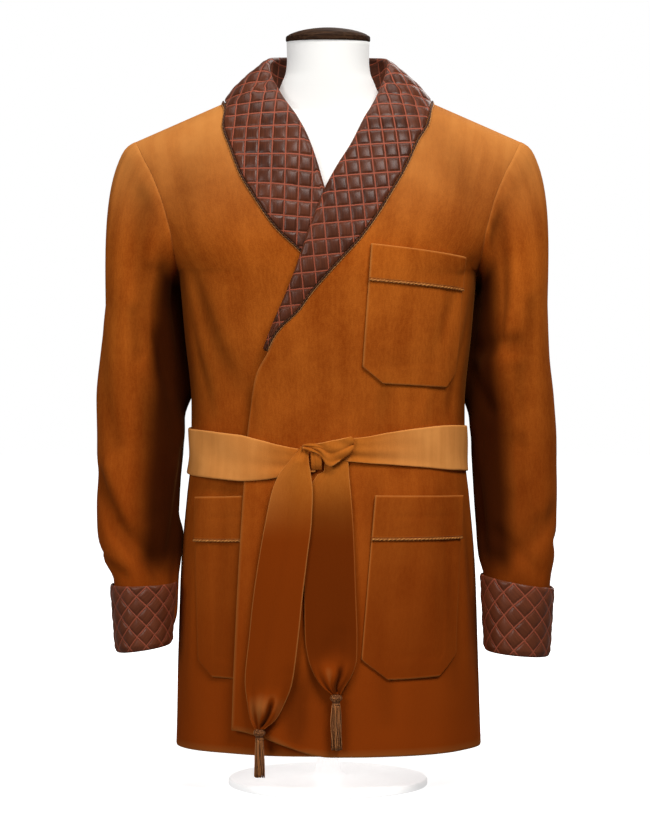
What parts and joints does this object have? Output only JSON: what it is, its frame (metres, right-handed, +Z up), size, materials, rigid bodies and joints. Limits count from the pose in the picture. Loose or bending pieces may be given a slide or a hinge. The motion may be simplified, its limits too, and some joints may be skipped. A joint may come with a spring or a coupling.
{
  "type": "smoking jacket on a dress form",
  "caption": "Wrap-front velvet smoking jacket with quilted shawl collar and cuffs, patch pockets and a tied belt with tassels, on a limbless dress form.",
  "frame": {"origin": "on the floor, at the middle of the dress form's round base", "axes": "+Z up, -Y out of the jacket's front, +X to the right of someone who faces it"},
  "size_m": [0.576, 0.2828, 0.9461],
  "materials": {
    "velvet": "cotton velvet with a soft nap",
    "belt_velvet": "the same velvet, brushed lighter",
    "quilted_satin": "quilted satin with a low sheen",
    "piping_cord": "twisted cord",
    "tassel_thread": "silky thread",
    "white_jersey": "matt stretch jersey",
    "neck_cap_wood": "dark stained and lacquered",
    "stand_paint": "white satin paint"
  },
  "bodies": {
    "root": {"back": "velvet", "front_over": "velvet", "front_under": "velvet", "sleeve_over": "velvet", "sleeve_under": "velvet", "chest_pocket": "velvet", "chest_pocket_band": "velvet", "lower_pocket_over": "velvet", "lower_pocket_over_band": "velvet", "lower_pocket_under": "velvet", "lower_pocket_under_band": "velvet", "belt": "belt_velvet", "knot_wing": "belt_velvet", "knot_wrap": "belt_velvet", "tail_front": "belt_velvet", "tail_rear": "belt_velvet", "collar_over": "quilted_satin", "collar_under": "quilted_satin", "cuff_over": "quilted_satin", "cuff_under": "quilted_satin", "collar_piping_over": "piping_cord", "collar_piping_under": "piping_cord", "chest_pocket_piping": "piping_cord", "lower_pocket_over_piping": "piping_cord", "lower_pocket_under_piping": "piping_cord", "tassel_front": "tassel_thread", "tassel_rear": "tassel_thread", "form_torso": "white_jersey", "form_cap": "neck_cap_wood", "form_stand": "stand_paint"}
  },
  "joints": []
}
